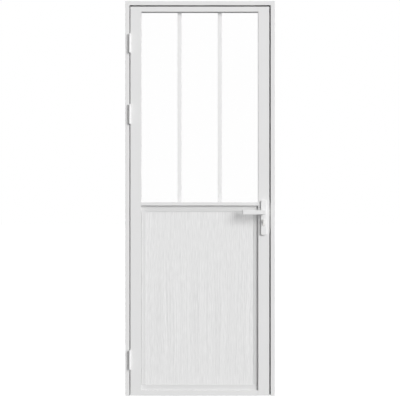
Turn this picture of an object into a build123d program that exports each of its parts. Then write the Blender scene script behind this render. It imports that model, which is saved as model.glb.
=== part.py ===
"""White aluminium door set: a frame without threshold, and a leaf with glass above and a panel below.

Millimetres. X runs to the right, Y away from the viewer and Z up. The origin lies on the floor,
under the middle of the frame, at mid-depth of the leaf. The door opens toward the viewer.
"""
from build123d import *
import os

# Frame
frame_width = 800.0
frame_height = 2112.0
frame_face = 22.3
stop_overlap = 19.0
stop_thickness = 12.0
stop_gap = 3.0
profile_wall = 1.8
corner_round = 0.8
fit = 0.1

# Leaf
leaf_depth = 50.0
floor_gap = 2.0
edge_gap = 7.6
hinge_stile_face = 58.1
lock_stile_face = 59.1
rail_height = 27.5
pocket_depth = 12.0

# Mid rail
mid_rail_rise = 53.0
mid_rail_face = 18.0
mid_rail_skirt = 10.0
mid_rail_setback = 15.0

# Glass unit and its bars
pane_thickness = 4.0
spacer_thickness = 12.0
spacer_width = 8.0
bar_face = 21.6
bar_thickness = 8.0
bar_count = 2
gasket_thickness = 1.5
gasket_recess = 1.0
edge_cover = 10.0
block_length = 60.0
block_inset = 90.0

# Lower panel and its trims
trim_width = 24.0
bottom_trim_width = 30.0
trim_side_gap = 1.5
trim_thickness = 2.0
trim_bevel = 1.2

# Gasket on the door stop
slot_mouth = 3.0
slot_width = 5.0
slot_lip = 1.2
slot_depth = 4.0
bulb_width = 9.0
bulb_clearance = 0.3

# Brush under the leaf
brush_slot_width = 6.0
brush_slot_depth = 5.0
brush_width = 4.0
brush_tip = 0.4

# Corner cleats and rail blocks
cleat_arm = 70.0
cleat_margin = 4.0
cleat_hole_radius = 5.0
end_block_reach = 30.0

# Wall fixings
fixing_first = 320.0
fixing_second = 760.0
fixing_third_drop = 862.0
fixing_fourth_drop = 362.0
head_fixing_spacing = 400.0
fixing_depth = 27.0
fixing_radius = 4.0
access_radius = 8.0
cap_depth = 3.0

# Hinges
hinge_top_drop = 196.2
hinge_mid_drop = 575.2
hinge_bottom_rise = 191.0
hinge_height = 103.0
knuckle_radius = 7.0
knuckle_cap = 4.0
knuckle_chamfer = 0.8
hinge_axis_out = 8.0
pin_radius = 4.0
pin_play = 0.05
washer_thickness = 1.0
wing_thickness = 1.9
wing_gap = 0.8
wing_depth = 38.0
hinge_screw_spread = 34.0
hinge_screw_near = 12.0
hinge_screw_far = 28.0

# Screws
screw_radius = 2.0
screw_head_radius = 4.0
screw_head_height = 1.8
screw_length = 12.0
screw_play = 0.05
screw_tip_cover = 1.0
rail_screw_length = 20.0
rail_screw_head = 3.0
tool_hole_radius = 5.0

# Lock case
backset = 30.0
spindle_height = 983.0
cylinder_drop = 48.0
case_wall = 1.5
case_thickness = 15.0
case_depth = 45.0
case_bottom_drop = 90.0
case_top_rise = 23.0
case_play = 0.5
faceplate_width = 22.0
faceplate_length = 185.0
faceplate_thickness = 2.5
faceplate_drop = 20.0
faceplate_screw_inset = 7.5

# Strike
strike_thickness = 2.0
strike_length = 150.0
strike_screw_inset = 10.0
strike_margin = 1.0
strike_box_margin = 3.0

# Latch and dead bolt
bolt_height = 18.0
bolt_thickness = 11.0
bolt_play = 0.15
latch_throw = 8.5
latch_tail_height = 3.5
latch_tail_gap = 5.5
latch_tail_thickness = 6.0
latch_block_start = 16.5
latch_riser = 8.0
lug_thickness = 3.5
lug_offset = -0.55
lug_engagement = 4.0
deadbolt_drop = 25.0
deadbolt_length = 21.5

# Follower, spindle and levers
follower_radius = 7.5
running_play = 0.05
follower_arm = 14.0
follower_arm_width = 4.0
follower_arm_tilt = 20.0
spindle_side = 8.0
spindle_reach = 33.0
lever_projection = 60.0
lever_length = 116.2
lever_height = 24.0
lever_thickness = 12.0
lever_heel = 9.0
lever_return = 34.0
lever_outer_round = 5.0
lever_inner_round = 3.0
lever_end_round = 2.0
lever_edge_bevel = 1.0
neck_radius = 10.0
neck_inset = 5.0
collar_radius = 12.5
collar_thickness = 3.0
grub_radius = 2.5
grub_length = 4.5

# Handle plates
plate_width = 31.0
plate_below = 122.0
plate_above = 65.0
plate_thickness = 12.0
plate_shell = 2.0
plate_corner = 8.0
plate_edge_bevel = 1.5
plate_bolt_inset = 9.5
plate_bolt_radius = 2.5
plate_post_radius = 4.5

# Cylinder
cylinder_radius = 8.5
cylinder_leg_width = 10.0
cylinder_leg_drop = 24.5
cylinder_proud = 3.0
plug_radius = 6.45
cam_width = 9.6
cam_gap = 0.2
cam_ring_radius = 8.5
cam_reach = 13.2
cam_clearance = 0.8
turn_grip_width = 22.0
turn_grip_thickness = 8.0
turn_grip_reach = 14.0
turn_grip_gap = 1.0
key_slot_width = 2.2
key_slot_height = 8.5
key_slot_depth = 25.0

# Worked out from the sizes above
unit_thickness = 2 * pane_thickness + spacer_thickness
pocket_width = unit_thickness + 2 * gasket_thickness
hinge_gap = 2 * wing_thickness + wing_gap
frame_depth = leaf_depth + stop_gap + stop_thickness
slot_centre = frame_face + stop_overlap / 2

x_frame = frame_width / 2
x_hinge_edge = -x_frame + frame_face + hinge_gap
x_lock_edge = x_frame - frame_face - edge_gap
x_sight_left = x_hinge_edge + hinge_stile_face
x_sight_right = x_lock_edge - lock_stile_face
x_floor_left = x_sight_left - pocket_depth
x_floor_right = x_sight_right + pocket_depth
x_infill_left = x_sight_left - edge_cover
x_infill_right = x_sight_right + edge_cover

y_front = -leaf_depth / 2
y_back = leaf_depth / 2
y_stop = y_back + stop_gap
y_frame_back = y_front + frame_depth
y_pocket_front = -pocket_width / 2
y_pocket_back = pocket_width / 2
y_unit_front = -unit_thickness / 2
y_unit_back = unit_thickness / 2
y_fixing = y_front + fixing_depth

leaf_top = frame_height - frame_face - edge_gap
leaf_bottom = floor_gap
z_sight_top = leaf_top - rail_height
z_sight_bottom = leaf_bottom + rail_height
mid_rail_top = spindle_height + mid_rail_rise
z_mid_step = mid_rail_top - mid_rail_face
z_mid_bottom = z_mid_step - mid_rail_skirt
z_back_lip = z_mid_bottom - pocket_depth

x_pivot = -x_frame + frame_face + hinge_gap / 2
y_pivot = y_front - hinge_axis_out

hinge_centres = {
    "top": leaf_top - hinge_top_drop,
    "mid": leaf_top - hinge_mid_drop,
    "bottom": leaf_bottom + hinge_bottom_rise,
}
fixing_heights = (
    fixing_first,
    fixing_second,
    frame_height - fixing_third_drop,
    frame_height - fixing_fourth_drop,
)

x_face = x_lock_edge + faceplate_thickness
x_spindle = x_lock_edge - backset
z_cylinder = spindle_height - cylinder_drop
z_deadbolt = spindle_height - deadbolt_drop
x_case = x_lock_edge - case_depth
z_case_bottom = spindle_height - case_bottom_drop
z_case_top = spindle_height + case_top_rise
plate_bottom = spindle_height - plate_below
plate_top = spindle_height + plate_above
z_plate_bolts = (plate_bottom + plate_bolt_inset, plate_top - plate_bolt_inset)
y_plate = leaf_depth / 2 + plate_thickness
cylinder_half = y_plate + cylinder_proud


def rect(a0, a1, b0, b1):
    """A rectangle between two opposite corners."""
    width = abs(a1 - a0)
    height = abs(b1 - b0)
    return Pos((a0 + a1) / 2, (b0 + b1) / 2) * Rectangle(width, height)


def disc(a, b, radius):
    return Pos(a, b) * Circle(radius)


def upward(section, z0, z1):
    """Extrude a section drawn in X and Y from one height to another."""
    return extrude(Pos(0, 0, z0) * section, amount=z1 - z0, dir=(0, 0, 1))


def sideways(section, x0, x1):
    """Extrude a section drawn in Z and Y from one X to another."""
    plane = Plane(origin=(x1, 0, 0), x_dir=(0, 0, 1), z_dir=(-1, 0, 0))
    return extrude(plane * section, amount=x1 - x0, dir=(-1, 0, 0))


def through(section, y0, y1):
    """Extrude a section drawn in X and Z from one depth to another."""
    plane = Plane(origin=(0, y1, 0), x_dir=(1, 0, 0), z_dir=(0, -1, 0))
    return extrude(plane * section, amount=y1 - y0, dir=(0, -1, 0))


def block(x0, x1, y0, y1, z0, z1):
    return upward(rect(x0, x1, y0, y1), min(z0, z1), max(z0, z1))


def rod_x(y, z, radius, x0, x1):
    return sideways(disc(z, y, radius), x0, x1)


def rod_y(x, z, radius, y0, y1):
    return through(disc(x, z, radius), y0, y1)


def rod_z(x, y, radius, z0, z1):
    return upward(disc(x, y, radius), z0, z1)


def group(shapes):
    """Separate solids that share one node."""
    return Compound([solid for shape in shapes for solid in shape.solids()])


def mirrored(shape):
    """The same piece on the other side of the leaf."""
    return mirror(shape, about=Plane.XZ)


def frame_section(edge, inward):
    """Tube, door stop and gasket slot, from the outer edge of the frame inward."""
    inner = edge + inward * frame_face
    lip = inner + inward * stop_overlap
    centre = edge + inward * slot_centre
    tube = rect(edge, inner, y_front, y_frame_back)
    stop = rect(edge, lip, y_stop, y_frame_back)
    outline = tube + stop
    outline = fillet(outline.vertices(), corner_round)
    wall = profile_wall
    tube_room = rect(
        edge + inward * wall, inner - inward * wall, y_front + wall, y_frame_back - wall
    )
    stop_room = rect(inner, lip - inward * wall, y_stop + wall, y_frame_back - wall)
    seat = rect(
        centre - slot_width / 2 - wall,
        centre + slot_width / 2 + wall,
        y_stop,
        y_stop + slot_depth + wall,
    )
    return outline - tube_room - (stop_room - seat) - gasket_slot(centre, 0)


def gasket_slot(centre, play):
    """The undercut slot in the stop, or the gasket's foot when it is drawn with play."""
    mouth = rect(
        centre - slot_mouth / 2 + play, centre + slot_mouth / 2 - play, y_stop, y_stop + slot_depth / 2
    )
    foot = rect(
        centre - slot_width / 2 + play,
        centre + slot_width / 2 - play,
        y_stop + slot_lip + play,
        y_stop + slot_depth - play,
    )
    return mouth + foot


def stop_gasket_section(edge, inward):
    """Foot in the slot and a bulb that the closed leaf nearly touches."""
    centre = edge + inward * slot_centre
    bulb_depth = stop_gap - bulb_clearance
    bulb = RectangleRounded(bulb_width, bulb_depth, bulb_depth * 0.45)
    return gasket_slot(centre, fit) + Pos(centre, y_stop - bulb_depth / 2) * bulb


def mitre_wedges(side):
    """The part cut off a jamb's top, and the part cut off the head's end, at one corner."""
    reach = frame_face + stop_overlap + profile_wall
    corner = side * x_frame
    inner = corner - side * reach
    outer = corner + side * reach
    above = Polygon(
        (outer, frame_height + reach), (inner, frame_height - reach), (inner, frame_height + reach),
        align=None,
    )
    below = Polygon(
        (outer, frame_height + reach), (inner, frame_height - reach), (outer, frame_height - reach),
        align=None,
    )
    y0 = y_front - profile_wall
    y1 = y_frame_back + profile_wall
    return through(above, y0, y1), through(below, y0, y1)


def mitred_jamb(section, side):
    above, _ = mitre_wedges(side)
    return upward(section, 0, frame_height) - above


def mitred_head(section):
    head = sideways(section, -x_frame, x_frame)
    for side in (-1, 1):
        _, below = mitre_wedges(side)
        head = head - below
    return head


def fixing_holes(side):
    """Screw holes to the wall through a jamb's outer wall, and access holes through its inner one."""
    outer = side * x_frame
    middle = side * (x_frame - frame_face / 2)
    inner = side * (x_frame - frame_face)
    cuts = []
    for height in fixing_heights:
        cuts.append(rod_x(y_fixing, height, fixing_radius, *sorted((outer, middle))))
        cuts.append(rod_x(y_fixing, height, access_radius, *sorted((middle, inner))))
    return cuts


def strike_cut(x0, x1, margin):
    """Room for the latch and the dead bolt in the frame."""
    half = bolt_thickness / 2 + margin
    cuts = []
    for height in (spindle_height, z_deadbolt):
        low = height - bolt_height / 2 - margin
        high = height + bolt_height / 2 + margin
        cuts.append(block(x0, x1, -half, half, low, high))
    return cuts


def jamb(side):
    """One upright of the frame, mitred at its top."""
    body = mitred_jamb(frame_section(side * x_frame, -side), side) - fixing_holes(side)
    inner = x_frame - frame_face
    if side > 0:
        body = body - strike_cut(inner - fit, inner + profile_wall + fit, strike_box_margin)
        return body - strike_screws(screw_play)
    return body - hinge_screws(-1, screw_play)


def head():
    """The top of the frame, mitred at both ends."""
    body = mitred_head(frame_section(frame_height, -1))
    middle = frame_height - frame_face / 2
    for side in (-1, 1):
        x = side * head_fixing_spacing / 2
        body = body - rod_z(x, y_fixing, fixing_radius, middle, frame_height + fit)
        body = body - rod_z(x, y_fixing, access_radius, frame_height - frame_face - fit, middle)
    return body


def stop_gasket():
    """One gasket round the door stop, welded at its two corners."""
    ring = mitred_head(stop_gasket_section(frame_height, -1))
    for side in (-1, 1):
        ring = ring + mitred_jamb(stop_gasket_section(side * x_frame, -side), side)
    return ring


def corner_cleats():
    """Angle blocks in the hollow of the frame that join its two corners."""
    margin = profile_wall + fit
    width = frame_face - 2 * margin
    high = frame_height - margin
    cleats = []
    for side in (-1, 1):
        outer = side * (x_frame - margin)
        inner = outer - side * width
        far = outer - side * cleat_arm
        shape = rect(outer, far, high - width, high) + rect(outer, inner, high - cleat_arm, high)
        hole = cleat_arm - width / 2
        shape = shape - disc(outer - side * hole, high - width / 2, cleat_hole_radius)
        shape = shape - disc((outer + inner) / 2, high - hole, cleat_hole_radius)
        cleats.append(
            through(shape, y_front + profile_wall + cleat_margin, y_frame_back - profile_wall - cleat_margin)
        )
    return group(cleats)


def cap_at(place):
    """A flush plug in an access hole, drawn downward from its face and moved to its place."""
    return place * Cylinder(access_radius - fit, cap_depth, align=(Align.CENTER, Align.CENTER, Align.MAX))


def fixing_caps():
    """Caps over the access holes of the wall fixings."""
    inner = x_frame - frame_face
    caps = []
    for height in fixing_heights:
        caps.append(cap_at(Pos(-inner, y_fixing, height) * Rot(0, 90, 0)))
        caps.append(cap_at(Pos(inner, y_fixing, height) * Rot(0, -90, 0)))
    for side in (-1, 1):
        seat = Pos(side * head_fixing_spacing / 2, y_fixing, frame_height - frame_face)
        caps.append(cap_at(seat * Rot(180, 0, 0)))
    return group(caps)


def countersunk(play, length):
    """A countersunk screw, head up at the origin. With play it is the hole for that screw."""
    radius = screw_radius + play
    corners = [(radius, -screw_head_height), (radius, -length - play), (0, -length - play)]
    head = [(0, 0), (screw_head_radius, 0)]
    if play:
        wide = screw_head_radius + play
        head = [(0, play), (wide, play), (wide, 0)]
    outline = Polyline(*head, *corners, close=True)
    return revolve(make_face(Plane.XZ * outline), axis=Axis.Z)


def hinge_screws(side, play):
    """Screws of the hinge wings: side -1 goes into the jamb, side 1 into the leaf."""
    wing = hinge_gap / 2 - wing_thickness
    x = x_pivot + side * wing
    turn = Rot(0, -90 * side, 0)
    places = ((hinge_screw_near, -hinge_screw_spread), (hinge_screw_far, hinge_screw_spread))
    screws = []
    for centre in hinge_centres.values():
        for depth, rise in places:
            screws.append(Pos(x, y_front + depth, centre + rise) * turn * countersunk(play, screw_length))
    return screws


def hinge_half(centre, side):
    """Half a hinge: side -1 is the frame's lower knuckle, side 1 the leaf's upper knuckle."""
    low = centre - hinge_height / 2
    high = centre + hinge_height / 2
    gap = washer_thickness / 2
    z0, z1 = (centre + gap, high) if side > 0 else (low, centre - gap)
    x0 = x_pivot + side * wing_gap / 2
    x1 = x0 + side * wing_thickness
    knuckle = rod_z(x_pivot, y_pivot, knuckle_radius, z0, z1)
    knuckle = chamfer(knuckle.edges().group_by(Axis.Z)[-1 if side > 0 else 0], knuckle_chamfer)
    neck = block(x0, x1, y_pivot, y_front, z0, z1)
    wing = block(x0, x1, y_front, y_front + wing_depth, low, high)
    bore = pin_radius + (pin_play if side > 0 else 0)
    reach = hinge_height / 2 - knuckle_cap
    end = centre + side * (reach + (pin_play if side > 0 else 0))
    hole = rod_z(x_pivot, y_pivot, bore, *sorted((centre, end)))
    return knuckle + neck + wing - hole - hinge_screws(side, screw_play)


def hinge_pins():
    reach = hinge_height / 2 - knuckle_cap
    pins = []
    for centre in hinge_centres.values():
        pins.append(rod_z(x_pivot, y_pivot, pin_radius, centre - reach, centre + reach))
    return group(pins)


def hinge_washers():
    """Thrust washers between the knuckles, on which the leaf's weight rests."""
    washers = []
    half = washer_thickness / 2
    for centre in hinge_centres.values():
        ring = disc(x_pivot, y_pivot, knuckle_radius - knuckle_chamfer)
        ring = ring - disc(x_pivot, y_pivot, pin_radius + pin_play)
        washers.append(upward(ring, centre - half, centre + half))
    return group(washers)


def hollow_bar(edge, sight):
    """Section of a stile or rail from its outer edge to its sight line, with the glazing pocket."""
    inward = 1 if sight > edge else -1
    wall = profile_wall
    floor = sight - inward * pocket_depth
    outline = rect(edge, sight, y_front, y_back)
    outline = fillet(outline.vertices(), corner_round)
    pocket = rect(floor, sight, y_pocket_front, y_pocket_back)
    web = floor - inward * wall
    lip_end = sight - inward * wall
    room = rect(edge + inward * wall, web, y_front + wall, y_back - wall)
    front_room = rect(web, lip_end, y_front + wall, y_pocket_front - wall)
    back_room = rect(web, lip_end, y_pocket_back + wall, y_back - wall)
    return outline - pocket - room - front_room - back_room


def rail_block_spans():
    """Height ranges of the blocks in the ends of the three rails."""
    wall = profile_wall + fit
    top = (z_sight_top + pocket_depth + wall, leaf_top - wall)
    mid = (z_mid_bottom + wall, mid_rail_top - pocket_depth - wall)
    bottom = (leaf_bottom + brush_slot_depth + wall, z_sight_bottom - pocket_depth - wall)
    return top, mid, bottom


def rail_screw(x_floor, side, z, play):
    """Pan screw through a stile's pocket floor into a rail's block. Side is its way into the block."""
    head_start = x_floor - side * (profile_wall + rail_screw_head)
    under_head = x_floor - side * profile_wall
    tip = under_head + side * rail_screw_length
    shank = rod_x(0, z, screw_radius + play, *sorted((under_head, tip)))
    if play:
        return shank
    return shank + rod_x(0, z, screw_head_radius, *sorted((head_start, under_head)))


def rail_screws(play):
    screws = []
    for low, high in rail_block_spans():
        middle = (low + high) / 2
        screws.append(rail_screw(x_floor_left, 1, middle, play))
        screws.append(rail_screw(x_floor_right, -1, middle, play))
    return screws


def tool_holes(side):
    """Holes in a stile's outer wall through which the rail screws are driven."""
    edge = x_hinge_edge if side < 0 else x_lock_edge
    cuts = []
    for low, high in rail_block_spans():
        inner = edge - side * 2 * profile_wall
        cuts.append(rod_x(0, (low + high) / 2, tool_hole_radius, *sorted((edge + side * fit, inner))))
    return cuts


def rail_end_blocks():
    """Blocks that reach from the stile's pocket floor into the rail's hollow."""
    y0 = y_front + mid_rail_setback + profile_wall + fit
    y1 = y_pocket_back - fit
    blocks = []
    for low, high in rail_block_spans():
        blocks.append(block(x_floor_left, x_sight_left + end_block_reach, y0, y1, low, high))
        blocks.append(block(x_sight_right - end_block_reach, x_floor_right, y0, y1, low, high))
    return group([piece - rail_screws(screw_play) for piece in blocks])


def hinge_stile():
    section = hollow_bar(x_hinge_edge, x_sight_left)
    body = upward(section, leaf_bottom, leaf_top)
    return body - hinge_screws(1, screw_play) - rail_screws(screw_play) - tool_holes(-1)


def lock_stile():
    """The upright that carries the lock, cut for the case, the spindle, the cylinder and the bolts."""
    body = upward(hollow_bar(x_lock_edge, x_sight_right), leaf_bottom, leaf_top)
    half = case_thickness / 2 + case_play
    window = block(
        x_lock_edge - 2 * profile_wall, x_lock_edge + fit, -half, half,
        z_case_bottom - case_play, z_case_top + case_play,
    )
    spindle_hole = rod_y(x_spindle, spindle_height, neck_radius + case_play, y_front - fit, y_back + fit)
    body = body - window - spindle_hole - cylinder_shape(case_play, y_front - fit, y_back + fit)
    for z in z_plate_bolts:
        body = body - rod_y(x_spindle, z, plate_bolt_radius + case_play, y_front - fit, y_back + fit)
    return body - rail_screws(screw_play) - tool_holes(1) - faceplate_screws(screw_play)


def top_rail():
    return sideways(hollow_bar(leaf_top, z_sight_top), x_sight_left, x_sight_right)


def bottom_rail():
    """Rail with the panel's pocket above and the brush's slot below."""
    half = brush_slot_width / 2
    slot_top = leaf_bottom + brush_slot_depth
    seat = rect(leaf_bottom, slot_top + profile_wall, -half - profile_wall, half + profile_wall)
    slot = rect(leaf_bottom, slot_top, -half, half)
    section = hollow_bar(leaf_bottom, z_sight_bottom) + seat - slot
    return sideways(section, x_sight_left, x_sight_right)


def mid_rail():
    """Rail under the glass, with a set-back skirt that the top trim covers and a lip behind the panel."""
    wall = profile_wall
    y_skirt = y_front + mid_rail_setback
    floor = mid_rail_top - pocket_depth
    outline = rect(z_mid_step, mid_rail_top, y_front, y_back)
    outline = outline + rect(z_mid_bottom, z_mid_step, y_skirt, y_back)
    outline = outline + rect(z_back_lip, z_mid_bottom, y_pocket_back, y_back)
    step = outline.vertices().sort_by_distance((z_mid_step, y_skirt, 0))[0]
    outline = fillet([corner for corner in outline.vertices() if corner != step], corner_round)
    pocket = rect(floor, mid_rail_top, y_pocket_front, y_pocket_back)
    front_room = rect(z_mid_step + wall, mid_rail_top - wall, y_front + wall, y_pocket_front - wall)
    room = rect(z_mid_bottom + wall, floor - wall, y_skirt + wall, y_back - wall)
    back_room = rect(z_back_lip + wall, mid_rail_top - wall, y_pocket_back + wall, y_back - wall)
    return sideways(outline - pocket - front_room - room - back_room, x_sight_left, x_sight_right)


def infill(y0, y1, z0, z1):
    return block(x_infill_left, x_infill_right, y0, y1, z0, z1)


def glass_edges():
    return mid_rail_top - edge_cover, z_sight_top + edge_cover


def panel_edges():
    return z_sight_bottom - edge_cover, z_mid_bottom - (pocket_depth - edge_cover)


def ring(outer, width, y0, y1):
    """A flat ring along the inside of a rectangle of x0, x1, z0, z1."""
    x0, x1, z0, z1 = outer
    inner = rect(x0 + width, x1 - width, z0 + width, z1 - width)
    return through(rect(x0, x1, z0, z1) - inner, y0, y1)


def glass_pane(y0):
    low, high = glass_edges()
    return infill(y0, y0 + pane_thickness, low, high)


def glass_spacer():
    low, high = glass_edges()
    outer = (x_infill_left, x_infill_right, low, high)
    return ring(outer, spacer_width, y_unit_front + pane_thickness, y_unit_back - pane_thickness)


def glazing_bar(index):
    """Upright bar inside the glass unit. The bars part the glass into equal lights."""
    low, high = glass_edges()
    clear = x_sight_right - x_sight_left - bar_count * bar_face
    light = clear / (bar_count + 1)
    x0 = x_sight_left + light + index * (light + bar_face)
    section = rect(x0, x0 + bar_face, -bar_thickness / 2, bar_thickness / 2)
    section = fillet(section.vertices(), corner_round)
    return upward(section, low + spacer_width, high - spacer_width)


def glazing_gaskets():
    low, high = glass_edges()
    outer = (x_infill_left, x_infill_right, low, high)
    width = edge_cover - gasket_recess
    front = ring(outer, width, y_pocket_front, y_unit_front)
    return group([front, mirrored(front)])


def panel_gaskets():
    """A ring behind the panel, and a U in front of it, where the top trim holds the panel instead."""
    low, high = panel_edges()
    outer = (x_infill_left, x_infill_right, low, high)
    width = edge_cover - gasket_recess
    behind = ring(outer, width, y_unit_back, y_pocket_back)
    front = ring(outer, width, y_pocket_front, y_unit_front)
    above = z_mid_bottom - 2 * edge_cover
    front = front - block(x_infill_left, x_infill_right, y_pocket_front, y_unit_front, above, high)
    return group([behind, front])


def lower_panel():
    low, high = panel_edges()
    return infill(y_unit_front, y_unit_back, low, high)


def setting_blocks():
    """Blocks under the glass unit and under the panel that carry their weight."""
    glass_low, _ = glass_edges()
    panel_low, _ = panel_edges()
    left = x_sight_left + block_inset
    right = x_sight_right - block_inset
    blocks = []
    for low, floor in (
        (glass_low, mid_rail_top - pocket_depth),
        (panel_low, z_sight_bottom - pocket_depth),
    ):
        for x in (left, right - block_length):
            blocks.append(block(x, x + block_length, y_unit_front, y_unit_back, floor, low))
    return group(blocks)


def bevelled_strip(x0, x1, z0, z1, inner_axis, inner_last):
    """A flat trim strip on the panel's front, bevelled along the edge that faces the panel's middle."""
    strip = block(x0, x1, y_unit_front - trim_thickness, y_unit_front, z0, z1)
    front = strip.edges().filter_by(Plane.XZ).group_by(Axis.Y)[0]
    along = front.group_by(inner_axis)[-1 if inner_last else 0]
    return chamfer(along, trim_bevel)


def front_trims():
    """Four strips that frame the panel. The top one also covers the mid rail's skirt."""
    top_low = z_mid_bottom - trim_width
    side_low = z_sight_bottom + bottom_trim_width
    outer_left = x_sight_left + trim_side_gap
    outer_right = x_sight_right - trim_side_gap
    left = x_sight_left + trim_width
    right = x_sight_right - trim_width
    return {
        "top": bevelled_strip(x_sight_left, x_sight_right, top_low, z_mid_step, Axis.Z, False),
        "bottom": bevelled_strip(x_sight_left, x_sight_right, z_sight_bottom, side_low, Axis.Z, True),
        "left": bevelled_strip(outer_left, left, side_low, top_low, Axis.X, True),
        "right": bevelled_strip(right, outer_right, side_low, top_low, Axis.X, False),
    }


def back_trims():
    """Four strips that frame the panel's back."""
    high = z_back_lip
    side_low = z_sight_bottom + bottom_trim_width
    side_high = high - trim_width
    outer_left = x_sight_left + trim_side_gap
    outer_right = x_sight_right - trim_side_gap
    left = x_sight_left + trim_width
    right = x_sight_right - trim_width
    strips = (
        bevelled_strip(x_sight_left, x_sight_right, side_high, high, Axis.Z, False),
        bevelled_strip(x_sight_left, x_sight_right, z_sight_bottom, side_low, Axis.Z, True),
        bevelled_strip(outer_left, left, side_low, side_high, Axis.X, True),
        bevelled_strip(right, outer_right, side_low, side_high, Axis.X, False),
    )
    return group([mirrored(strip) for strip in strips])


def brush_sweep():
    """Brush in the bottom rail's slot, down to just above the floor."""
    half = brush_slot_width / 2 - fit
    top = leaf_bottom + brush_slot_depth
    holder = rect(leaf_bottom + fit, top, -half, half)
    bristles = rect(brush_tip, leaf_bottom + 2 * fit, -brush_width / 2, brush_width / 2)
    return sideways(holder + bristles, x_sight_left + fit, x_sight_right - fit)


def cylinder_shape(play, y0, y1):
    """The profile of the lock cylinder: a round body above a narrow leg."""
    half = cylinder_leg_width / 2 + play
    leg = rect(x_spindle - half, x_spindle + half, z_cylinder - cylinder_leg_drop - play, z_cylinder)
    return through(disc(x_spindle, z_cylinder, cylinder_radius + play) + leg, y0, y1)


def bolt_openings(x0, x1, play):
    """Rectangular guides of the latch and the dead bolt."""
    half = bolt_thickness / 2 + play
    cuts = []
    for height in (spindle_height, z_deadbolt):
        low = height - bolt_height / 2 - play
        cuts.append(block(x0, x1, -half, half, low, low + bolt_height + 2 * play))
    return cuts


def lock_case():
    """Pressed shell, open toward the back of the leaf."""
    half = case_thickness / 2
    wall = case_wall
    shell = block(x_case, x_lock_edge, -half, half - wall, z_case_bottom, z_case_top)
    shell = shell - block(
        x_case + wall, x_lock_edge - wall, -half + wall, half, z_case_bottom + wall, z_case_top - wall
    )
    shell = shell - bolt_openings(x_lock_edge - 2 * wall, x_lock_edge + fit, bolt_play)
    shell = shell - rod_y(x_spindle, spindle_height, follower_radius, -half - fit, half)
    return shell - cylinder_shape(fit, -half - fit, half) - cylinder_screw(screw_play)


def lock_case_cover():
    half = case_thickness / 2
    cover = block(x_case, x_lock_edge, half - case_wall, half, z_case_bottom, z_case_top)
    cover = cover - rod_y(x_spindle, spindle_height, follower_radius, 0, half + fit)
    return cover - cylinder_shape(fit, 0, half + fit)


def plate_strip(x0, x1, length, middle):
    """A thin plate with round ends on the edge of the leaf or on the jamb."""
    outline = RectangleRounded(length, faceplate_width, faceplate_width * 0.45)
    return sideways(Pos(middle, 0) * outline, x0, x1)


def screw_pair(x, turn, middle, spacing, play):
    return [
        Pos(x, 0, middle + side * spacing / 2) * turn * countersunk(play, screw_length)
        for side in (-1, 1)
    ]


def faceplate_screws(play):
    spacing = faceplate_length - 2 * faceplate_screw_inset
    return screw_pair(x_face, Rot(0, 90, 0), spindle_height - faceplate_drop, spacing, play)


def faceplate():
    plate = plate_strip(x_lock_edge, x_face, faceplate_length, spindle_height - faceplate_drop)
    plate = plate - bolt_openings(x_lock_edge - fit, x_face + fit, bolt_play)
    return plate - faceplate_screws(screw_play) - cylinder_screw(screw_play)


def strike_screws(play):
    spacing = strike_length - 2 * strike_screw_inset
    x = x_frame - frame_face - strike_thickness
    return screw_pair(x, Rot(0, -90, 0), spindle_height - faceplate_drop, spacing, play)


def strike_plate():
    inner = x_frame - frame_face
    plate = plate_strip(inner - strike_thickness, inner, strike_length, spindle_height - faceplate_drop)
    plate = plate - strike_cut(inner - strike_thickness - fit, inner + fit, strike_margin)
    return plate - strike_screws(screw_play)


def latch_bolt():
    """Spring bolt with a bevelled nose, and a tail over the follower with a lug that it pulls."""
    half = bolt_thickness / 2
    low = spindle_height - bolt_height / 2
    high = spindle_height + bolt_height / 2
    start = x_spindle + latch_block_start
    tip = x_face + latch_throw
    outline = Polygon(
        (start, -half), (tip, -half), (tip, -half + 2), (x_face + fit, half), (start, half), align=None
    )
    bolt = upward(outline, low, high)
    tail_low = high + latch_tail_gap
    tail_high = tail_low + latch_tail_height
    lug_high = x_spindle + lug_offset + lug_thickness / 2
    lug_low = lug_high - lug_thickness
    depth = latch_tail_thickness / 2
    riser = block(start, start + latch_riser, -depth, depth, high - fit, tail_high)
    tail = block(lug_low, start + latch_riser, -depth, depth, tail_low, tail_high)
    lug_bottom = spindle_height + follower_arm - lug_engagement
    lug = block(lug_low, lug_high, -depth, depth, lug_bottom, tail_high)
    return bolt + riser + tail + lug


def deadbolt():
    half = bolt_thickness / 2
    low = z_deadbolt - bolt_height / 2
    bolt = block(x_face - deadbolt_length, x_face, -half, half, low, low + bolt_height)
    return chamfer(bolt.faces().sort_by(Axis.X)[-1].edges(), corner_round)


def follower():
    """Hub that the square spindle turns, with the arm that pulls the latch back."""
    half = case_thickness / 2
    hub = rod_y(x_spindle, spindle_height, follower_radius - running_play, -half, half)
    width = follower_arm_width / 2
    arm = Rot(0, follower_arm_tilt, 0) * block(
        -width, width, -latch_tail_thickness / 2, latch_tail_thickness / 2, 0, follower_arm
    )
    return hub + Pos(x_spindle, 0, spindle_height) * arm - spindle_socket(-half - fit, half + fit)


def spindle():
    side = spindle_side / 2
    reach = leaf_depth / 2 + spindle_reach
    bar = through(
        rect(x_spindle - side, x_spindle + side, spindle_height - side, spindle_height + side),
        -reach, reach,
    )
    return chamfer(bar.faces().filter_by(Axis.Y).edges(), corner_round)


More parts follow.
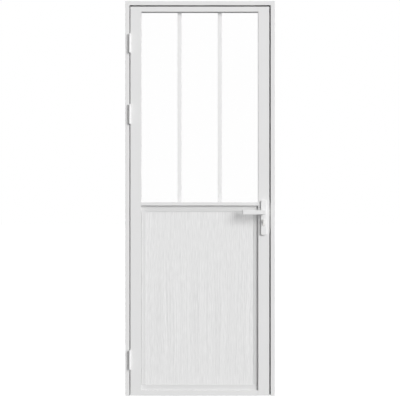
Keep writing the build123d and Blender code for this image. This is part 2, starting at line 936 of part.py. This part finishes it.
def lever_outline():
    """The lever seen from above: a bar, and its tip turned back toward the leaf."""
    y_out = y_front - lever_projection
    y_in = y_out + lever_thickness
    y_end = y_out + lever_return
    tip = x_spindle - lever_length
    heel = x_spindle + lever_heel
    outline = rect(tip, heel, y_out, y_in) + rect(tip, tip + lever_thickness, y_out, y_end)
    corners = (
        (tip, y_out, lever_outer_round),
        (tip + lever_thickness, y_in, lever_inner_round),
        (tip, y_end, lever_end_round),
        (tip + lever_thickness, y_end, lever_end_round),
        (heel, y_out, lever_end_round),
        (heel, y_in, lever_end_round),
    )
    for x, y, radius in corners:
        outline = fillet(outline.vertices().sort_by_distance((x, y, 0))[0], radius)
    return outline


def spindle_socket(y0, y1):
    """Square hole that takes the spindle."""
    side = (spindle_side + fit) / 2
    square = rect(x_spindle - side, x_spindle + side, spindle_height - side, spindle_height + side)
    return through(square, y0, y1)


def lever():
    """Front lever: a flat bar on a round neck that turns in the plate."""
    low = spindle_height - lever_height / 2
    bar = upward(lever_outline(), low, low + lever_height)
    bar = chamfer(bar.faces().filter_by(Axis.Z).edges(), lever_edge_bevel)
    y_bar = y_front - lever_projection + lever_thickness / 2
    y_inside = y_front - plate_thickness + neck_inset
    neck = rod_y(x_spindle, spindle_height, neck_radius - running_play, y_bar, y_inside)
    y_collar = y_front - plate_thickness - bulb_clearance
    collar = rod_y(x_spindle, spindle_height, collar_radius, y_collar - collar_thickness, y_collar)
    collar = chamfer(collar.edges().group_by(Axis.Y)[0], collar_thickness / 3)
    return bar + neck + collar - spindle_socket(y_front - spindle_reach - fit, 0) - grub_screw(screw_play)


def grub_screw(play):
    """Set screw that clamps the front lever's neck on the spindle, from below."""
    y = y_front - (plate_thickness + spindle_reach) / 2 - collar_thickness
    top = spindle_height - spindle_side / 2 - fit / 2
    return rod_z(x_spindle, y, grub_radius + play, top - grub_length, top)


def plate_outline(margin):
    height = plate_top - plate_bottom
    shape = RectangleRounded(plate_width - 2 * margin, height - 2 * margin, plate_corner - margin)
    return Pos(x_spindle, (plate_bottom + plate_top) / 2) * shape


def handle_plate(post_hole):
    """Front cover plate, hollow behind, with a post at each end for the through bolts."""
    y_out = y_front - plate_thickness
    plate = through(plate_outline(0), y_out, y_front)
    plate = chamfer(plate.faces().sort_by(Axis.Y)[0].edges(), plate_edge_bevel)
    plate = plate - through(plate_outline(plate_shell), y_out + plate_shell, y_front + fit)
    for z in z_plate_bolts:
        plate = plate + rod_y(x_spindle, z, plate_post_radius, y_out + plate_shell - fit, y_front)
        plate = plate - post_hole(z)
    plate = plate - rod_y(x_spindle, spindle_height, neck_radius, y_out - fit, y_front)
    return plate - cylinder_shape(fit, y_out - fit, y_front)


def blind_post_hole(z):
    """Threaded blind hole that takes a bolt's end, inside the front plate."""
    return rod_y(x_spindle, z, plate_bolt_radius, y_front - plate_thickness + plate_shell, y_front + fit)


def bolt_head_hole(z):
    """Countersunk hole through the back plate, drawn on the front and mirrored with the plate."""
    y_out = y_front - plate_thickness
    shank = rod_y(x_spindle, z, plate_bolt_radius + screw_play, y_out - fit, y_front + fit)
    return shank + rod_y(
        x_spindle, z, screw_head_radius + screw_play, y_out - fit, y_out + screw_head_height + screw_play
    )


def plate_bolts():
    """Two bolts from the back plate through the stile into the front plate's posts."""
    y_head = y_back + plate_thickness
    bolts = []
    for z in z_plate_bolts:
        shank = rod_y(x_spindle, z, plate_bolt_radius, y_front - plate_thickness + 2 * plate_shell, y_head)
        bolts.append(shank + rod_y(x_spindle, z, screw_head_radius, y_head - screw_head_height, y_head))
    return group(bolts)


def cylinder_body():
    """Profile cylinder from plate to plate, open in the middle for its cam."""
    body = cylinder_shape(0, -cylinder_half, cylinder_half)
    half = cam_width / 2 + cam_gap
    bridge = z_cylinder - cam_reach - cam_clearance
    body = body - block(
        x_spindle - cam_reach, x_spindle + cam_reach, -half, half, bridge, z_cylinder + cam_reach
    )
    body = body - rod_y(
        x_spindle, z_cylinder, plug_radius + running_play, -cylinder_half - fit, cylinder_half + fit
    )
    return body - cylinder_screw(screw_play)


def cylinder_screw(play):
    """The long screw from the faceplate into the cylinder's leg, just below the cam."""
    bridge = z_cylinder - cam_reach - cam_clearance
    leg_end = z_cylinder - cylinder_leg_drop
    length = x_face - x_spindle + cylinder_leg_width / 2 - screw_tip_cover
    return Pos(x_face, 0, (bridge + leg_end) / 2) * Rot(0, 90, 0) * countersunk(play, length)


def thumb_turn():
    """Plug on the viewer's side with the oval grip that is turned by hand."""
    plug = rod_y(x_spindle, z_cylinder, plug_radius, -cylinder_half - turn_grip_gap, cam_width / 2)
    y_grip = -cylinder_half - turn_grip_gap
    grip = SlotOverall(turn_grip_width, turn_grip_thickness)
    grip = through(Pos(x_spindle, z_cylinder) * Rot(0, 0, 90) * grip, y_grip - turn_grip_reach, y_grip)
    grip = chamfer(grip.faces().sort_by(Axis.Y)[0].edges(), corner_round)
    return plug + grip


def cylinder_cam():
    """Cam on the plug that throws the dead bolt."""
    width = spindle_side - 1
    shape = disc(x_spindle, z_cylinder, cam_ring_radius)
    tongue = rect(x_spindle - width / 2, x_spindle + width / 2, z_cylinder - cam_reach, z_cylinder)
    shape = shape + (tongue & disc(x_spindle, z_cylinder, cam_reach))
    shape = shape - disc(x_spindle, z_cylinder, plug_radius)
    return through(shape, -cam_width / 2, cam_width / 2)


def key_plug():
    """Plug on the far side, with the key slot."""
    plug = rod_y(x_spindle, z_cylinder, plug_radius, cam_width / 2 + cam_gap, cylinder_half)
    slot = block(
        x_spindle - key_slot_width / 2, x_spindle + key_slot_width / 2,
        cylinder_half - key_slot_depth, cylinder_half + fit,
        z_cylinder - key_slot_height / 2, z_cylinder + key_slot_height / 2,
    )
    return plug - slot


def build_nodes():
    nodes = {
        "jamb_hinge_side": jamb(-1),
        "jamb_lock_side": jamb(1),
        "head": head(),
        "corner_cleats": corner_cleats(),
        "stop_gasket": stop_gasket(),
        "fixing_caps": fixing_caps(),
        "strike_plate": strike_plate(),
        "strike_screws": group(strike_screws(0)),
        "hinge_pins": hinge_pins(),
        "hinge_frame_screws": group(hinge_screws(-1, 0)),
        "hinge_leaf_screws": group(hinge_screws(1, 0)),
        "hinge_washers": hinge_washers(),
        "hinge_stile": hinge_stile(),
        "lock_stile": lock_stile(),
        "top_rail": top_rail(),
        "mid_rail": mid_rail(),
        "bottom_rail": bottom_rail(),
        "rail_end_blocks": rail_end_blocks(),
        "rail_screws": group(rail_screws(0)),
        "glass_front": glass_pane(y_unit_front),
        "glass_back": glass_pane(y_unit_back - pane_thickness),
        "glass_spacer": glass_spacer(),
        "glazing_bar_left": glazing_bar(0),
        "glazing_bar_right": glazing_bar(1),
        "glazing_gaskets": glazing_gaskets(),
        "setting_blocks": setting_blocks(),
        "lower_panel": lower_panel(),
        "panel_gaskets": panel_gaskets(),
        "back_trims": back_trims(),
        "brush_sweep": brush_sweep(),
        "lock_case": lock_case(),
        "lock_case_cover": lock_case_cover(),
        "faceplate": faceplate(),
        "faceplate_screws": group(faceplate_screws(0)),
        "cylinder_screw": cylinder_screw(0),
        "handle_plate_front": handle_plate(blind_post_hole),
        "handle_plate_back": mirrored(handle_plate(bolt_head_hole)),
        "plate_bolts": plate_bolts(),
        "cylinder_body": cylinder_body(),
        "lever_front": lever(),
        "lever_back": mirrored(lever()),
        "lever_grub_screws": group([grub_screw(0), mirrored(grub_screw(0))]),
        "spindle": spindle(),
        "follower": follower(),
        "latch_bolt": latch_bolt(),
        "deadbolt": deadbolt(),
        "thumb_turn": thumb_turn(),
        "cylinder_cam": cylinder_cam(),
        "key_plug": key_plug(),
    }
    for name, strip in front_trims().items():
        nodes[f"trim_front_{name}"] = strip
    for name, centre in hinge_centres.items():
        nodes[f"hinge_frame_half_{name}"] = hinge_half(centre, -1)
        nodes[f"hinge_leaf_half_{name}"] = hinge_half(centre, 1)
    return nodes


os.makedirs("parts", exist_ok=True)
for node, shape in build_nodes().items():
    export_step(shape, f"parts/{node}.step")
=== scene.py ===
"""Looks of the white half-glazed door set: materials, small detail pieces, light and camera.

Metres, in the frame of the CAD part. A pattern's scale is its number of cells in a metre.
"""

import math
import random

import bmesh
import bpy
from mathutils import Matrix, Vector


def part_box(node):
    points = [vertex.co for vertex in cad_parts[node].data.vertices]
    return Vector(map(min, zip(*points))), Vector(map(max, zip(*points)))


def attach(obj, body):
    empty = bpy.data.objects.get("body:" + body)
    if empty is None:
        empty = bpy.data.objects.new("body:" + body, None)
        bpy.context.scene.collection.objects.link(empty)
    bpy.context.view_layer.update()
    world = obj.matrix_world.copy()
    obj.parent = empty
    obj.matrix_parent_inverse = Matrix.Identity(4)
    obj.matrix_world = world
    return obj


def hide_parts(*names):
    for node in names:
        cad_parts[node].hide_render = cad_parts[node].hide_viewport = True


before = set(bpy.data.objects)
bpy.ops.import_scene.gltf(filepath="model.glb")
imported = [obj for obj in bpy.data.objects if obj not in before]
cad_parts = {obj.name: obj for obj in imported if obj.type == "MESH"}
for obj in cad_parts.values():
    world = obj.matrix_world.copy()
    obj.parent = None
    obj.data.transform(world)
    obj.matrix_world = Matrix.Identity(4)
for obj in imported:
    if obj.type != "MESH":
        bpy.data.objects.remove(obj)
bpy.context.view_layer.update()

# Camera
CAMERA_PLACE = (-0.0005, -7.525, 1.048)
CAMERA_LENS = 126.23
CAMERA_REACH = 100

# Light: a key lamp from the upper right, a soft one behind, and an even surround
KEY_DIRECTION = (0.617, -0.726, 0.305)
KEY_STRENGTH = 2.86
KEY_ANGLE = 0.7
BACK_DIRECTION = (0.0, 0.9, 0.4)
BACK_STRENGTH = 1.6
BACK_ANGLE = 0.5
SURROUND = 0.46

# Floor
FLOOR_HALF = 50.0
FLOOR_BOUNCE = 0.2
FLOOR_GLOW = 0.9
FLOOR_SHADE = 0.22

# Patterns: the middle range of a noise, which holds nearly all of it
PATTERN_LOW = 0.3
PATTERN_HIGH = 0.7
WHITE = (1, 1, 1, 1)
GLASS_IOR = 1.5

# Drive recesses of the screws and set screws; shares are of the recess's radius
RECESS_RADIUS = 0.0021
RECESS_DEPTH = 0.0014
RECESS_LEAD = 0.0004
MOUTH_SHARE = 1.04
FLOOR_SHARE = 0.72
WING_SHARE = 0.17
WAIST_SHARE = 0.28
SET_SCREW_RECESS = 0.00125
SCREW_SLOT = "bright_steel"

# Mesh work
WELD_DISTANCE = 1e-6
FACE_TOLERANCE = 1e-5
SHARP_DEGREES = 35

# Brush pile
HOLDER_RISE = 0.0018
BRISTLE_START = 0.0012
BRISTLE_ENDS = 0.002
BRISTLE_PITCH = 0.0013
BRISTLE_ROWS = (-0.0012, 0.0, 0.0012)
BRISTLE_RADIUS = 0.00045
BRISTLE_ROOT = 0.0002
BRISTLE_UNEVEN = 0.0005
BRISTLE_LEAN = 0.0003
SIDE_LEAN_SHARE = 0.4
BRISTLE_TWIST = 900
BRISTLE_SEED = 5


# Node helpers

def node(tree, kind, **inputs):
    """Adds a node. Each named input is a value, or the output socket that feeds it."""
    made = tree.nodes.new(kind)
    for name, value in inputs.items():
        feed(tree, made.inputs[name.replace("_", " ")], value)
    return made


def feed(tree, socket, value):
    """Sets a socket, or links it where the value is another socket."""
    if isinstance(value, bpy.types.NodeSocket):
        tree.links.new(value, socket)
    else:
        socket.default_value = value


def new_material(name):
    """A Principled material; returns its tree, its shader and the object coordinates."""
    material = bpy.data.materials.new(name)
    material.use_nodes = True
    tree = material.node_tree
    coordinates = node(tree, "ShaderNodeTexCoord").outputs["Object"]
    return material, tree, tree.nodes["Principled BSDF"], coordinates


def stretched(tree, coordinates, axes):
    """Coordinates scaled by axis, so that a pattern runs along the axis with the small number."""
    return node(tree, "ShaderNodeMapping", Vector=coordinates, Scale=axes).outputs["Vector"]


def noise(tree, coordinates, scale, detail=2.0, roughness=0.5):
    made = node(
        tree, "ShaderNodeTexNoise",
        Vector=coordinates, Scale=scale, Detail=detail, Roughness=roughness,
    )
    return made.outputs["Fac"]


def span(tree, value, low, high, start=PATTERN_LOW, end=PATTERN_HIGH):
    """Maps a pattern's values from start to end onto low to high."""
    made = node(
        tree, "ShaderNodeMapRange",
        Value=value, From_Min=start, From_Max=end, To_Min=low, To_Max=high,
    )
    return made.outputs["Result"]


def shades(tree, factor, dark, light):
    """A colour between two shades."""
    ramp = node(tree, "ShaderNodeValToRGB", Fac=factor)
    ramp.color_ramp.elements[0].position = PATTERN_LOW
    ramp.color_ramp.elements[1].position = PATTERN_HIGH
    ramp.color_ramp.elements[0].color = (*dark, 1)
    ramp.color_ramp.elements[1].color = (*light, 1)
    return ramp.outputs["Color"]


def bump(tree, height, strength, distance, below=None):
    """A relief of the given depth, on top of the one below."""
    made = node(tree, "ShaderNodeBump", Height=height, Strength=strength, Distance=distance)
    if below is not None:
        tree.links.new(below, made.inputs["Normal"])
    return made.outputs["Normal"]


def vector_sum(tree, first, second):
    made = tree.nodes.new("ShaderNodeVectorMath")
    feed(tree, made.inputs[0], first)
    feed(tree, made.inputs[1], second)
    return made.outputs["Vector"]


def vector_times(tree, vector, factor):
    made = tree.nodes.new("ShaderNodeVectorMath")
    made.operation = "SCALE"
    feed(tree, made.inputs[0], vector)
    feed(tree, made.inputs["Scale"], factor)
    return made.outputs["Vector"]


def scaled(colour, share):
    return tuple(channel * share for channel in colour)


def grey(level):
    return (level, level, level)


def surface(tree, shader, colour, roughness, normal):
    feed(tree, shader.inputs["Base Color"], colour)
    feed(tree, shader.inputs["Roughness"], roughness)
    feed(tree, shader.inputs["Normal"], normal)


def mix(tree, share, first, second):
    """The first shader where the share is 0, and the second where it is 1."""
    made = node(tree, "ShaderNodeMixShader", Fac=share)
    tree.links.new(first, made.inputs[1])
    tree.links.new(second, made.inputs[2])
    return made.outputs["Shader"]


def diffuse(tree, level):
    return node(tree, "ShaderNodeBsdfDiffuse", Color=(*grey(level), 1)).outputs["BSDF"]


def show(tree, shader):
    tree.links.new(shader, tree.nodes["Material Output"].inputs["Surface"])


# Materials

def powder_coat(name, colour, roughness):
    """Powder coat: a fine orange peel, a faint sparkle of roughness and a barely uneven shade."""
    material, tree, shader, place = new_material(name)
    peel = noise(tree, place, scale=620, detail=2)
    grit = noise(tree, place, scale=2400, detail=1)
    cloud = noise(tree, place, scale=6, detail=3)
    coarse = bump(tree, peel, strength=0.35, distance=0.00006)
    surface(
        tree, shader,
        colour=shades(tree, cloud, dark=scaled(colour, 0.985), light=colour),
        roughness=span(tree, grit, low=roughness - 0.06, high=roughness + 0.06),
        normal=bump(tree, grit, strength=0.2, distance=0.00001, below=coarse),
    )
    return material


def wood_grain(name, colour):
    """White foil embossed with an upright wood grain: fine ridges, short pores and longer streaks."""
    material, tree, shader, place = new_material(name)
    warp = noise(tree, stretched(tree, place, (1, 1, 0.18)), scale=9, detail=2)
    aside = span(tree, warp, low=-0.012, high=0.012)
    bent = node(tree, "ShaderNodeCombineXYZ", X=aside).outputs["Vector"]
    along = vector_sum(tree, place, bent)
    ridges = noise(tree, stretched(tree, along, (1, 1, 0.06)), scale=300, detail=3)
    pores = noise(tree, stretched(tree, along, (1, 1, 0.05)), scale=620, detail=1)
    streaks = noise(tree, stretched(tree, along, (1, 1, 0.004)), scale=300, detail=1, roughness=0.4)
    shade = shades(tree, ridges, dark=scaled(colour, 0.87), light=colour)
    tone = span(tree, streaks, low=0.88, high=1.0)
    open_pores = span(tree, pores, low=0, high=1, start=0.34, end=0.46)
    cut = bump(tree, open_pores, strength=0.5, distance=0.00012)
    surface(
        tree, shader,
        colour=vector_times(tree, shade, tone),
        roughness=span(tree, pores, low=0.62, high=0.48),
        normal=bump(tree, ridges, strength=0.6, distance=0.0003, below=cut),
    )
    return material


def moulded_plastic(name, colour, roughness):
    """Moulded plastic: a fine spark-eroded texture and a slight unevenness of shade."""
    material, tree, shader, place = new_material(name)
    cloud = noise(tree, place, scale=40, detail=3)
    grain = noise(tree, place, scale=1800, detail=2)
    surface(
        tree, shader,
        colour=shades(tree, cloud, dark=scaled(colour, 0.95), light=colour),
        roughness=span(tree, grain, low=roughness - 0.05, high=roughness + 0.07),
        normal=bump(tree, grain, strength=0.3, distance=0.00004),
    )
    return material


def rubber(name, colour):
    """Extruded rubber: long die lines and a dull, slightly dusty surface."""
    material, tree, shader, place = new_material(name)
    lines = noise(tree, stretched(tree, place, (1, 1, 0.02)), scale=1500, detail=2)
    dust = noise(tree, place, scale=120, detail=4)
    surface(
        tree, shader,
        colour=shades(tree, dust, dark=scaled(colour, 0.86), light=colour),
        roughness=span(tree, dust, low=0.68, high=0.82),
        normal=bump(tree, lines, strength=0.35, distance=0.00004),
    )
    return material


def drawn_metal(name, colour, roughness, run, lines_scale):
    """Metal with fine lines along one axis, as drawing, rolling or brushing leaves them."""
    material, tree, shader, place = new_material(name)
    lines = noise(tree, stretched(tree, place, run), scale=lines_scale, detail=3, roughness=0.6)
    cloud = noise(tree, place, scale=30, detail=3)
    surface(
        tree, shader,
        colour=shades(tree, cloud, dark=scaled(colour, 0.9), light=colour),
        roughness=span(tree, lines, low=roughness - 0.07, high=roughness + 0.09),
        normal=bump(tree, lines, strength=0.25, distance=0.00002),
    )
    shader.inputs["Metallic"].default_value = 1.0
    return material


def brush_pile(name, colour):
    """Synthetic pile: each fibre a little lighter or darker than the next."""
    material, tree, shader, place = new_material(name)
    fibres = noise(tree, stretched(tree, place, (1, 1, 0.05)), scale=900, detail=1)
    surface(
        tree, shader,
        colour=shades(tree, fibres, dark=scaled(colour, 0.6), light=colour),
        roughness=span(tree, fibres, low=0.7, high=0.9),
        normal=bump(tree, fibres, strength=0.5, distance=0.0001),
    )
    return material


def clear_glass(name):
    """Float glass: clear, with a reflection on entry that grows towards grazing angles.

    Shadow rays and diffuse rays pass straight, so that what lies between the panes is lit.
    """
    material, tree, shader, place = new_material(name)
    tree.nodes.remove(shader)
    wave = noise(tree, place, scale=3.5, detail=1)
    ripple = bump(tree, wave, strength=0.05, distance=0.0004)
    smear = span(tree, noise(tree, place, scale=14, detail=3), low=0.004, high=0.02)
    clear = node(tree, "ShaderNodeBsdfTransparent", Color=(*grey(0.998), 1)).outputs["BSDF"]
    shine = node(tree, "ShaderNodeBsdfGlossy", Color=WHITE, Roughness=smear, Normal=ripple)
    rim = node(tree, "ShaderNodeFresnel", IOR=GLASS_IOR).outputs["Fac"]
    pane = mix(tree, rim, clear, shine.outputs["BSDF"])
    path = node(tree, "ShaderNodeLightPath").outputs
    leaving = node(tree, "ShaderNodeNewGeometry").outputs["Backfacing"]
    for case in (path["Is Diffuse Ray"], path["Is Shadow Ray"], leaving):
        pane = mix(tree, case, pane, clear)
    show(tree, pane)
    return material


def build_materials():
    """One material for each slot of the record."""
    upright = (1, 1, 0.02)
    along_screw = (1, 0.05, 0.05)
    aluminium = (0.8, 0.81, 0.82)
    steel = (0.62, 0.62, 0.61)
    nickel = (0.75, 0.74, 0.72)
    return {
        "frame_coat": powder_coat("frame_coat", grey(0.75), roughness=0.5),
        "leaf_coat": powder_coat("leaf_coat", grey(0.745), roughness=0.5),
        "hinge_coat": powder_coat("hinge_coat", grey(0.8), roughness=0.4),
        "handle_coat": powder_coat("handle_coat", grey(0.785), roughness=0.4),
        # painted shade: the trims' white is set darker than the leaf's to stand in for the shade of
        # the recess they sit in
        "trim_white": powder_coat("trim_white", grey(0.68), roughness=0.52),
        "bar_white": powder_coat("bar_white", grey(0.8), roughness=0.5),
        "panel_white": wood_grain("panel_white", grey(0.868)),
        "clear_glass": clear_glass("clear_glass"),
        "gasket_grey": rubber("gasket_grey", grey(0.3)),
        "block_plastic": moulded_plastic("block_plastic", grey(0.035), roughness=0.5),
        "cap_white": moulded_plastic("cap_white", grey(0.75), roughness=0.42),
        "washer_white": moulded_plastic("washer_white", (0.72, 0.72, 0.7), roughness=0.38),
        "brush_grey": brush_pile("brush_grey", grey(0.22)),
        "bare_aluminium": drawn_metal("bare_aluminium", aluminium, 0.38, upright, lines_scale=500),
        "bright_steel": drawn_metal("bright_steel", steel, 0.3, along_screw, lines_scale=900),
        "cylinder_metal": drawn_metal("cylinder_metal", nickel, 0.26, upright, lines_scale=1100),
    }


def dress_nodes(materials):
    """Gives each CAD node's slots the new material of the same name."""
    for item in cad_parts.values():
        for slot in item.material_slots:
            slot.material = materials[slot.material.name.split(".")[0]]


# Pieces

def mesh_piece(name, mesh, materials, body, slot, replaced):
    """Adds a piece that rides on a body, has a slot's finish and stands in a CAD node's place."""
    piece = bpy.data.objects.new(name, mesh)
    bpy.context.scene.collection.objects.link(piece)
    mesh.materials.clear()
    mesh.materials.append(materials[slot])
    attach(piece, body)
    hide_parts(replaced)


def welded_copy(name):
    """The CAD node's mesh with its doubled corners joined."""
    shape = bmesh.new()
    shape.from_mesh(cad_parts[name].data)
    bmesh.ops.remove_doubles(shape, verts=shape.verts, dist=WELD_DISTANCE)
    return shape


def islands(shape):
    """The separate solids of a mesh, each as a list of points."""
    met = set()
    found = []
    for start in shape.verts:
        if start in met:
            continue
        met.add(start)
        group = [start]
        for vert in group:
            for edge in vert.link_edges:
                other = edge.other_vert(vert)
                if other not in met:
                    met.add(other)
                    group.append(other)
        found.append([vert.co.copy() for vert in group])
    return found


def head_of(points, way):
    """Middle of a screw's face that looks along way."""
    reach = max(point.dot(way) for point in points)
    face = [point for point in points if point.dot(way) > reach - FACE_TOLERANCE]
    return sum(face, Vector()) / len(face)


def cross_outline(radius):
    """Outline of a cross recess: four slightly tapering wings."""
    corners = []
    for quarter in range(4):
        turn = Matrix.Rotation(math.radians(90 * quarter), 2)
        for x, y in ((1.0, -WING_SHARE), (1.0, WING_SHARE), (WAIST_SHARE, WAIST_SHARE)):
            corners.append(turn @ Vector((x * radius, y * radius)))
    return corners


def hexagon_outline(radius):
    steps = [math.radians(60 * corner) for corner in range(6)]
    return [Vector((math.cos(step) * radius, math.sin(step) * radius)) for step in steps]


def add_recess(shape, middle, way, outline, depth):
    """A closed tapered plug that the recess is cut with."""
    turn = way.to_track_quat("Z", "Y").to_matrix()
    rings = []
    for rise, share in ((RECESS_LEAD, MOUTH_SHARE), (-depth, FLOOR_SHARE)):
        ring = [middle + turn @ Vector((x * share, y * share, rise)) for x, y in outline]
        rings.append([shape.verts.new(point) for point in ring])
    count = len(outline)
    for corner in range(count):
        after = (corner + 1) % count
        shape.faces.new((rings[0][corner], rings[1][corner], rings[1][after], rings[0][after]))
    shape.faces.new(rings[0])
    shape.faces.new(rings[1])


def as_object(shape, name):
    """An object of its own from a bmesh, which is freed."""
    bmesh.ops.recalc_face_normals(shape, faces=shape.faces)
    mesh = bpy.data.meshes.new(name)
    shape.to_mesh(mesh)
    shape.free()
    made = bpy.data.objects.new(name, mesh)
    bpy.context.scene.collection.objects.link(made)
    return made


def cut_mesh(body, cutter, name):
    """The body's mesh less the cutter's; both helper objects go."""
    cut = body.modifiers.new("cut", "BOOLEAN")
    cut.object = cutter
    cut.operation = "DIFFERENCE"
    cut.solver = "EXACT"
    scene_state = bpy.context.evaluated_depsgraph_get()
    mesh = bpy.data.meshes.new_from_object(body.evaluated_get(scene_state))
    mesh.name = name
    bpy.data.objects.remove(body)
    bpy.data.objects.remove(cutter)
    mesh.polygons.foreach_set("use_smooth", [True] * len(mesh.polygons))
    mesh.set_sharp_from_angle(angle=math.radians(SHARP_DEGREES))
    return mesh


def recessed_screws(name, body, way, outline, materials):
    """The node's screws with drive recesses in the ends that look along way, in the node's place."""
    screws = welded_copy(name)
    cutter = bmesh.new()
    for points in islands(screws):
        add_recess(cutter, head_of(points, way), way, outline, RECESS_DEPTH)
    plain = as_object(screws, name + "_plain")
    tool = as_object(cutter, name + "_tool")
    driven = name + "_driven"
    mesh = cut_mesh(plain, tool, driven)
    mesh_piece(driven, mesh, materials, body, SCREW_SLOT, replaced=name)


def dress_screws(materials):
    cross = cross_outline(RECESS_RADIUS)
    hexagon = hexagon_outline(SET_SCREW_RECESS)
    rows = (
        ("hinge_frame_screws", "frame", (1, 0, 0), cross),
        ("hinge_leaf_screws", "leaf", (-1, 0, 0), cross),
        ("strike_screws", "frame", (-1, 0, 0), cross),
        ("faceplate_screws", "leaf", (1, 0, 0), cross),
        ("cylinder_screw", "leaf", (1, 0, 0), cross),
        ("plate_bolts", "leaf", (0, 1, 0), cross),
        ("lever_grub_screws", "lever_set", (0, 0, -1), hexagon),
    )
    for name, body, way, outline in rows:
        recessed_screws(name, body, Vector(way), outline, materials)


def add_bristle(shape, x, y, top, tip, lean):
    """One tuft of fibres: a three-sided spike from the holder to its tip."""
    ring = []
    for corner in range(3):
        angle = math.radians(120 * corner) + x * BRISTLE_TWIST
        aside = x + BRISTLE_RADIUS * math.cos(angle)
        behind = y + BRISTLE_RADIUS * math.sin(angle)
        ring.append(shape.verts.new((aside, behind, top)))
    point = shape.verts.new((x + lean, y + lean * SIDE_LEAN_SHARE, tip))
    for corner in range(3):
        shape.faces.new((ring[corner], ring[(corner + 1) % 3], point))


def add_bar(shape, low, high):
    """A box between two corners."""
    size = high - low
    place = Matrix.Translation((low + high) / 2) @ Matrix.Diagonal((*size, 1))
    bmesh.ops.create_cube(shape, size=1, matrix=place)


def dress_brush(materials):
    """The sweep's holder with rows of separate tufts, in the plain brush's place."""
    low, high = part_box("brush_sweep")
    chance = random.Random(BRISTLE_SEED)
    shape = bmesh.new()
    floor_of_holder = low.z + HOLDER_RISE
    add_bar(shape, Vector((low.x, low.y, floor_of_holder)), high)
    root = floor_of_holder + BRISTLE_ROOT
    count = int((high.x - low.x - BRISTLE_ENDS) / BRISTLE_PITCH)
    for row, y in enumerate(BRISTLE_ROWS):
        for step in range(count):
            x = low.x + BRISTLE_START + (step + 0.5 * (row % 2)) * BRISTLE_PITCH
            tip = low.z + chance.uniform(0, BRISTLE_UNEVEN)
            lean = chance.uniform(-BRISTLE_LEAN, BRISTLE_LEAN)
            add_bristle(shape, x, y, root, tip, lean)
    bmesh.ops.recalc_face_normals(shape, faces=shape.faces)
    mesh = bpy.data.meshes.new("brush_tufts")
    shape.to_mesh(mesh)
    shape.free()
    mesh_piece("brush_tufts", mesh, materials, "leaf", "brush_grey", replaced="brush_sweep")


# Surroundings

def background_rays(tree):
    """1 for the rays that should see the white background: camera, glossy and transmission rays."""
    path = node(tree, "ShaderNodeLightPath")
    total = path.outputs["Is Camera Ray"]
    for name in ("Is Glossy Ray", "Is Transmission Ray"):
        larger = node(tree, "ShaderNodeMath")
        larger.operation = "MAXIMUM"
        tree.links.new(total, larger.inputs[0])
        tree.links.new(path.outputs[name], larger.inputs[1])
        total = larger.outputs["Value"]
    return total


def floor_material():
    """White where it is seen, with the object's shadow; a plain pale floor to the light."""
    material, tree, shader, place = new_material("floor")
    tree.nodes.remove(shader)
    glow = node(tree, "ShaderNodeEmission", Color=WHITE, Strength=FLOOR_GLOW)
    seen = node(tree, "ShaderNodeAddShader")
    tree.links.new(glow.outputs["Emission"], seen.inputs[0])
    tree.links.new(diffuse(tree, FLOOR_SHADE), seen.inputs[1])
    bounce = diffuse(tree, FLOOR_BOUNCE)
    show(tree, mix(tree, background_rays(tree), bounce, seen.outputs["Shader"]))
    return material


def add_floor():
    shape = bmesh.new()
    bmesh.ops.create_grid(shape, x_segments=1, y_segments=1, size=FLOOR_HALF)
    mesh = bpy.data.meshes.new("floor")
    shape.to_mesh(mesh)
    shape.free()
    floor = bpy.data.objects.new("floor", mesh)
    bpy.context.scene.collection.objects.link(floor)
    mesh.materials.append(floor_material())


def add_sun(name, direction, strength, angle):
    lamp = bpy.data.lights.new(name, "SUN")
    lamp.energy = strength
    lamp.angle = angle
    item = bpy.data.objects.new(name, lamp)
    item.rotation_euler = Vector(direction).to_track_quat("Z", "Y").to_euler()
    bpy.context.scene.collection.objects.link(item)


def add_surround():
    """Even light on the object, and plain white where the background is seen."""
    world = bpy.data.worlds.new("surround")
    world.use_nodes = True
    bpy.context.scene.world = world
    tree = world.node_tree
    level = span(tree, background_rays(tree), low=SURROUND, high=1.0, start=0.0, end=1.0)
    feed(tree, tree.nodes["Background"].inputs["Color"], WHITE)
    feed(tree, tree.nodes["Background"].inputs["Strength"], level)


def add_camera():
    lens = bpy.data.cameras.new("camera")
    lens.lens = CAMERA_LENS
    lens.clip_end = CAMERA_REACH
    camera = bpy.data.objects.new("camera", lens)
    camera.location = CAMERA_PLACE
    camera.rotation_euler = (math.radians(90), 0, 0)
    bpy.context.scene.collection.objects.link(camera)
    bpy.context.scene.camera = camera


def main():
    materials = build_materials()
    dress_nodes(materials)
    dress_screws(materials)
    dress_brush(materials)
    add_floor()
    add_sun("key", KEY_DIRECTION, KEY_STRENGTH, KEY_ANGLE)
    add_sun("back", BACK_DIRECTION, BACK_STRENGTH, BACK_ANGLE)
    add_surround()
    add_camera()
    bpy.context.scene.view_settings.view_transform = "Standard"


main()
